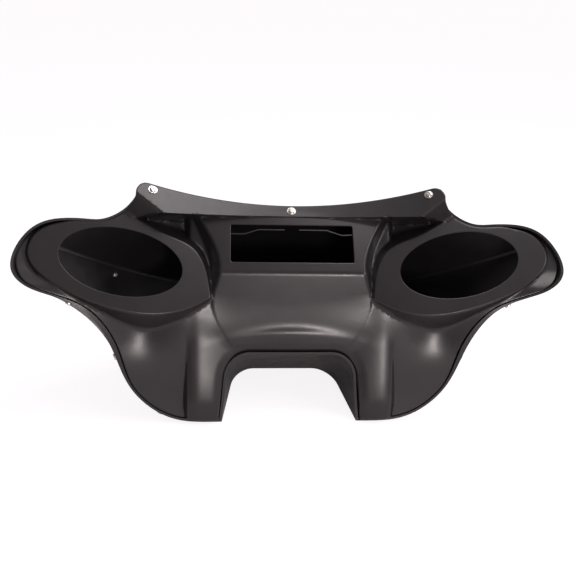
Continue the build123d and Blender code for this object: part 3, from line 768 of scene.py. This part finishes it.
def dash_panel():
    """The inner shell, from its face back: rolled edges, a skirt inside the outer rim and an even wall."""
    side = outline_half(panel_inset)
    arch = arch_half(PANEL_FIT, side[-1, 1])
    arch_ring = np.concatenate([arch[::-1], arch[1:] * (-1.0, 1.0)])
    border = np.concatenate([whole(side)[:-1], arch_ring[:-1]])
    speaker = ellipse(SPEAKER, SPEAKER_LONG, SPEAKER_SHORT, SPEAKER_TURN, SPEAKER_STEPS)
    holes = [speaker, speaker[::-1] * (-1.0, 1.0), slot_ring()]
    places, faces, edges = net(border, holes, panel_features())
    height = panel_face(places)
    height = height - rolled(-outside(places, border), EDGE_ROUND)
    height = height - ARCH_DROP / ARCH_ROLL * rolled(outside(places, arch_ring), ARCH_ROLL)
    for hole in holes:
        height = height - rolled(outside(places, hole), HOLE_ROUND)
    front = np.column_stack([places, height])
    rim = edges[0]
    skirt = range(len(front), len(front) + len(rim))
    walls = list(zip(rim, rim[1:] + rim[:1], [*skirt[1:], skirt[0]], skirt))
    panel = piece_from("dash_panel", np.concatenate([front, panel_skirt(front[rim])]),
                       list(map(tuple, faces)) + walls, dash_black)
    wall = panel.modifiers.new("wall", "SOLIDIFY")
    wall.thickness = PANEL_WALL / 1000.0
    wall.offset = -1.0
    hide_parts("inner_fairing")
    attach(panel, "root")


def slot_edges():
    """Two stepped black edges behind the top of the radio slot, against the back of its face."""
    high, deep = SLOT_EDGE
    behind = PANEL_WALL * math.hypot(1.0, RADIO_SLOPE)
    for side, line in SLOT_EDGES.items():
        across = np.linspace(line[0][0], line[-1][0], SLOT_EDGE_STEPS)
        up = np.interp(across, *np.transpose(line))
        points = [np.column_stack([across, row, radio_face(row) - (behind + depth)])
                  for depth in (0.0, deep) for row in (up, up + high)]
        count = len(across)
        corners = (0, count, 3 * count, 2 * count)
        faces = [corners, tuple(k + count - 1 for k in reversed(corners))]
        for one, two in zip(corners, corners[1:] + corners[:1]):
            faces += [(two + k, one + k, one + k + 1, two + k + 1) for k in range(count - 1)]
        edge = piece_from("slot_edge_" + side, np.concatenate(points), faces, dash_black)
        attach(edge, "root")


def screw_seats(name):
    """Head tops and axes of the screws in a CAD node, read from its solids, in metres."""
    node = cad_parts[name]
    left = np.asarray([tuple(node.matrix_world @ vertex.co) for vertex in node.data.vertices])
    seats = []
    while len(left):
        near = np.linalg.norm(left - left[0], axis=1) < SCREW_SPACING
        one = left[near]
        left = left[~near]
        middle = 0.5 * (one.min(axis=0) + one.max(axis=0))
        axis = np.linalg.svd(one - one.mean(axis=0), full_matrices=False)[2][0]
        along = (one - middle) @ axis
        wide = np.linalg.norm(one - middle - along[:, None] * axis, axis=1)
        if wide[along > 0.0].max() < wide[along < 0.0].max():
            axis = -axis
            along = -along
        shank = one[along < 0.0].mean(axis=0)
        top = shank + axis * (along.max() - (shank - middle) @ axis)
        seats.append((top, axis, along.max() - along.min()))
    return seats


def sized_tree(name, sizes):
    """Empty Geometry Nodes tree with its seats and named sizes as inputs, and its group input's sockets."""
    tree = bpy.data.node_groups.new(name, "GeometryNodeTree")
    tree.interface.new_socket("Seats", in_out="INPUT", socket_type="NodeSocketGeometry")
    for size in sizes:
        tree.interface.new_socket(size, in_out="INPUT", socket_type="NodeSocketFloat")
    tree.interface.new_socket("Pieces", in_out="OUTPUT", socket_type="NodeSocketGeometry")
    return tree, tree.nodes.new("NodeGroupInput").outputs


def worked(tree, operation, one, two):
    """One number worked out from two in a tree."""
    return add_node(tree, "ShaderNodeMath", {0: one, 1: two}, operation=operation).outputs[0]


def lowered(tree, mesh, drop):
    down = add_node(tree, "ShaderNodeCombineXYZ", {"Z": worked(tree, "MULTIPLY", drop, -1.0)})
    moved = add_node(tree, "GeometryNodeTransform", {"Geometry": mesh, "Translation": down.outputs[0]})
    return moved.outputs[0]


def bar(tree, sides, radius, length):
    made = add_node(tree, "GeometryNodeMeshCylinder", {"Vertices": sides, "Radius": radius, "Depth": length})
    return made.outputs["Mesh"]


def on_seats(tree, piece, finish):
    """Stand a piece on every seat along its axis, make the copies real and give them their finish."""
    way = add_node(tree, "GeometryNodeInputNamedAttribute", {"Name": "axis"}, data_type="FLOAT_VECTOR")
    turn = add_node(tree, "FunctionNodeAlignRotationToVector", {"Vector": way.outputs["Attribute"]}, axis="Z")
    seats = tree.nodes["Group Input"].outputs["Seats"]
    copies = add_node(tree, "GeometryNodeInstanceOnPoints", {"Points": seats, "Instance": piece,
                                                            "Rotation": turn.outputs[0]})
    real = add_node(tree, "GeometryNodeRealizeInstances", {"Geometry": copies.outputs[0]})
    done = add_node(tree, "GeometryNodeSetMaterial", {"Geometry": real.outputs[0], "Material": finish})
    out = tree.nodes.new("NodeGroupOutput")
    tree.links.new(done.outputs[0], out.inputs["Pieces"])


def screw_tree(finish):
    """Socket-head screw: a rounded head with its top at the seat, a six-sided socket and a shank."""
    sizes = ("Head Radius", "Head Height", "Socket Radius", "Socket Depth", "Shank Radius", "Length")
    tree, size = sized_tree("socket_head_screw", sizes)
    base = add_node(tree, "GeometryNodeMeshCircle", {"Vertices": 48, "Radius": size["Head Radius"]},
                    fill_type="NGON")
    mesh = lowered(tree, base.outputs[0], size["Head Height"])
    top = None
    for rise, shrink in HEAD_STEPS:
        inputs = {"Mesh": mesh, "Offset Scale": worked(tree, "MULTIPLY", size["Head Height"], rise)}
        if top is not None:
            inputs["Selection"] = top
        raised = add_node(tree, "GeometryNodeExtrudeMesh", inputs)
        top = raised.outputs["Top"]
        inputs = {"Geometry": raised.outputs["Mesh"], "Selection": top, "Scale": shrink}
        mesh = add_node(tree, "GeometryNodeScaleElements", inputs).outputs[0]
    socket = bar(tree, 6, size["Socket Radius"], worked(tree, "MULTIPLY", size["Socket Depth"], 2.0))
    head = add_node(tree, "GeometryNodeMeshBoolean", {0: mesh, 1: socket}, operation="DIFFERENCE")
    shank = bar(tree, 32, size["Shank Radius"], worked(tree, "SUBTRACT", size["Length"], size["Head Height"]))
    middle = worked(tree, "MULTIPLY", worked(tree, "ADD", size["Length"], size["Head Height"]), 0.5)
    joined = tree.nodes.new("GeometryNodeJoinGeometry")
    tree.links.new(head.outputs[0], joined.inputs[0])
    tree.links.new(lowered(tree, shank, middle), joined.inputs[0])
    on_seats(tree, joined.outputs[0], finish)
    return tree


def washer_tree(finish):
    """Plain washer, its middle at the seat."""
    tree, size = sized_tree("plain_washer", ("Radius", "Thickness", "Bore Radius"))
    disc = bar(tree, 48, size["Radius"], size["Thickness"])
    bore = bar(tree, 32, size["Bore Radius"], worked(tree, "MULTIPLY", size["Thickness"], 3.0))
    ring = add_node(tree, "GeometryNodeMeshBoolean", {0: disc, 1: bore}, operation="DIFFERENCE")
    on_seats(tree, ring.outputs[0], finish)
    return tree


def stood(name, seats, tree, sizes, replaced):
    """Plain mesh of the pieces that a tree stands on the seats, in place of a CAD node if one is named."""
    mesh = bpy.data.meshes.new(name)
    mesh.from_pydata([tuple(seat[0]) for seat in seats], [], [])
    axes = mesh.attributes.new("axis", "FLOAT_VECTOR", "POINT")
    axes.data.foreach_set("vector", np.concatenate([seat[1] for seat in seats]))
    piece = link(name, mesh)
    maker = piece.modifiers.new("stood", "NODES")
    maker.node_group = tree
    for item in tree.interface.items_tree:
        if item.name in sizes:
            maker[item.identifier] = sizes[item.name] / 1000.0
    bpy.context.view_layer.update()
    made = bpy.data.meshes.new_from_object(piece.evaluated_get(bpy.context.evaluated_depsgraph_get()))
    piece.modifiers.remove(maker)
    piece.data = made
    made.shade_smooth()
    made.set_sharp_from_angle(angle=math.radians(30.0))
    if replaced:
        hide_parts(replaced)
    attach(piece, "root")


def fasteners():
    """Screws and washers that show, stood where the part has them."""
    screw = screw_tree(screw_zinc)
    shield = screw_seats("windshield_screws")
    edge = screw_seats("edge_screws")
    under_head = 0.001 * (SHIELD_HEAD[1] + 0.5 * WASHER[1])
    washers = [(top - axis * under_head, axis, length) for top, axis, length in shield]
    stood("windshield_washer_set", washers, washer_tree(screw_zinc),
          {"Radius": WASHER[0], "Thickness": WASHER[1], "Bore Radius": WASHER[2]},
          "windshield_washers")
    axis = np.asarray(rest_axis(*INNER_SCREW_AXIS).normalized())
    inner = [(rest_frame([INNER_SCREW])[0] + axis * 0.001 * INNER_HEAD[1], axis, 0.001 * INNER_SCREW_LENGTH)]
    for name, seats, head, replaced in (("windshield_screw_set", shield, SHIELD_HEAD, "windshield_screws"),
                                        ("edge_screw_set", edge, EDGE_HEAD, "edge_screws"),
                                        ("inner_screw", inner, INNER_HEAD, None)):
        stood(name, seats, screw, {"Head Radius": head[0], "Head Height": head[1], "Socket Radius": SOCKET[0],
                                   "Socket Depth": SOCKET[1], "Shank Radius": SHANK_RADIUS,
                                   "Length": 1000.0 * seats[0][2]}, replaced)


def paper_floor():
    """Pale paper floor that glows for the camera alone and keeps the shadow."""
    side = FLOOR_SIDE
    corners = [(-side, -side, 0), (side, -side, 0), (side, side, 0), (-side, side, 0)]
    sheet = bpy.data.meshes.new("floor")
    sheet.from_pydata(corners, [], [(0, 1, 2, 3)])
    floor = link("floor", sheet)
    paper = Finish("floor_paper")
    fibre = paper.noise(30.0, 4.0, 0.6)
    colour = paper.tint(fibre, (0.3, (0.90, 0.855, 0.88)), (0.7, (0.92, 0.88, 0.90)))
    paper.feed(Base_Color=colour, Roughness=0.7)
    glow = paper.node("ShaderNodeEmission", {"Color": (1.0, 0.985, 0.995, 1.0), "Strength": FLOOR_GLOW})
    seen = paper.node("ShaderNodeLightPath").outputs["Is Camera Ray"]
    share = paper.node("ShaderNodeMath", {0: seen, 1: FLOOR_GLOW_SHARE}, operation="MULTIPLY")
    mix = paper.node("ShaderNodeMixShader", {0: share.outputs[0], 1: paper.shader.outputs[0],
                                             2: glow.outputs[0]})
    paper.tree.links.new(mix.outputs[0], paper.tree.nodes["Material Output"].inputs["Surface"])
    floor.data.materials.append(paper.material)


def surroundings():
    """Room light that grows from the left to the right, shown white to the camera."""
    world = bpy.data.worlds.new("studio")
    bpy.context.scene.world = world
    world.use_nodes = True
    tree = world.node_tree
    way = tree.nodes.new("ShaderNodeTexCoord").outputs["Generated"]
    across = add_node(tree, "ShaderNodeSeparateXYZ", {0: way}).outputs["X"]
    strength = add_node(tree, "ShaderNodeMapRange", {"Value": across, "From Min": -1.0, "From Max": 1.0,
                                                     "To Min": ROOM_STRENGTH[0], "To Max": ROOM_STRENGTH[1]})
    room = tree.nodes["Background"]
    room.inputs["Color"].default_value = ROOM_COLOUR
    tree.links.new(strength.outputs[0], room.inputs["Strength"])
    white = add_node(tree, "ShaderNodeBackground", {"Color": (1.0, 1.0, 1.0, 1.0)})
    seen = tree.nodes.new("ShaderNodeLightPath").outputs["Is Camera Ray"]
    mix = add_node(tree, "ShaderNodeMixShader", {0: seen, 1: room.outputs[0], 2: white.outputs[0]})
    tree.links.new(mix.outputs[0], tree.nodes["World Output"].inputs["Surface"])


def lamps():
    """Soft lamps: one overhead, one low in front and one at the right."""
    for name, (place, aim, wide, high, power, colour) in LAMPS.items():
        light = bpy.data.lights.new(name, "AREA")
        light.shape = "RECTANGLE"
        light.size = wide
        light.size_y = high
        light.energy = power
        light.color = colour
        lamp = link(name, light)
        lamp.location = place
        lamp.rotation_euler = (Vector(aim) - Vector(place)).to_track_quat("-Z", "Y").to_euler()


def camera():
    """Camera square to the dash, a little to the left."""
    lens = bpy.data.cameras.new("camera")
    lens.sensor_width = SENSOR
    lens.lens = SENSOR * CAMERA_FOCUS / FRAME_SIDE
    lens.clip_start = 0.05
    lens.clip_end = 60.0
    eye = link("camera", lens)
    back = rest_axis(-math.sin(CAMERA_YAW), 0.0, math.cos(CAMERA_YAW))
    right = rest_axis(math.cos(CAMERA_YAW), 0.0, math.sin(CAMERA_YAW))
    up = rest_axis(0.0, 1.0, 0.0)
    turn = Matrix((right, up, back)).transposed() @ Matrix.Rotation(CAMERA_ROLL, 3, "Z")
    aim = Vector(rest_frame([CAMERA_AIM])[0])
    eye.matrix_world = Matrix.Translation(aim + back * (CAMERA_AWAY / 1000.0)) @ turn.to_4x4()
    bpy.context.scene.camera = eye


dash_panel()
slot_edges()
fasteners()
bpy.context.scene.view_settings.view_transform = "Standard"
paper_floor()
surroundings()
lamps()
camera()
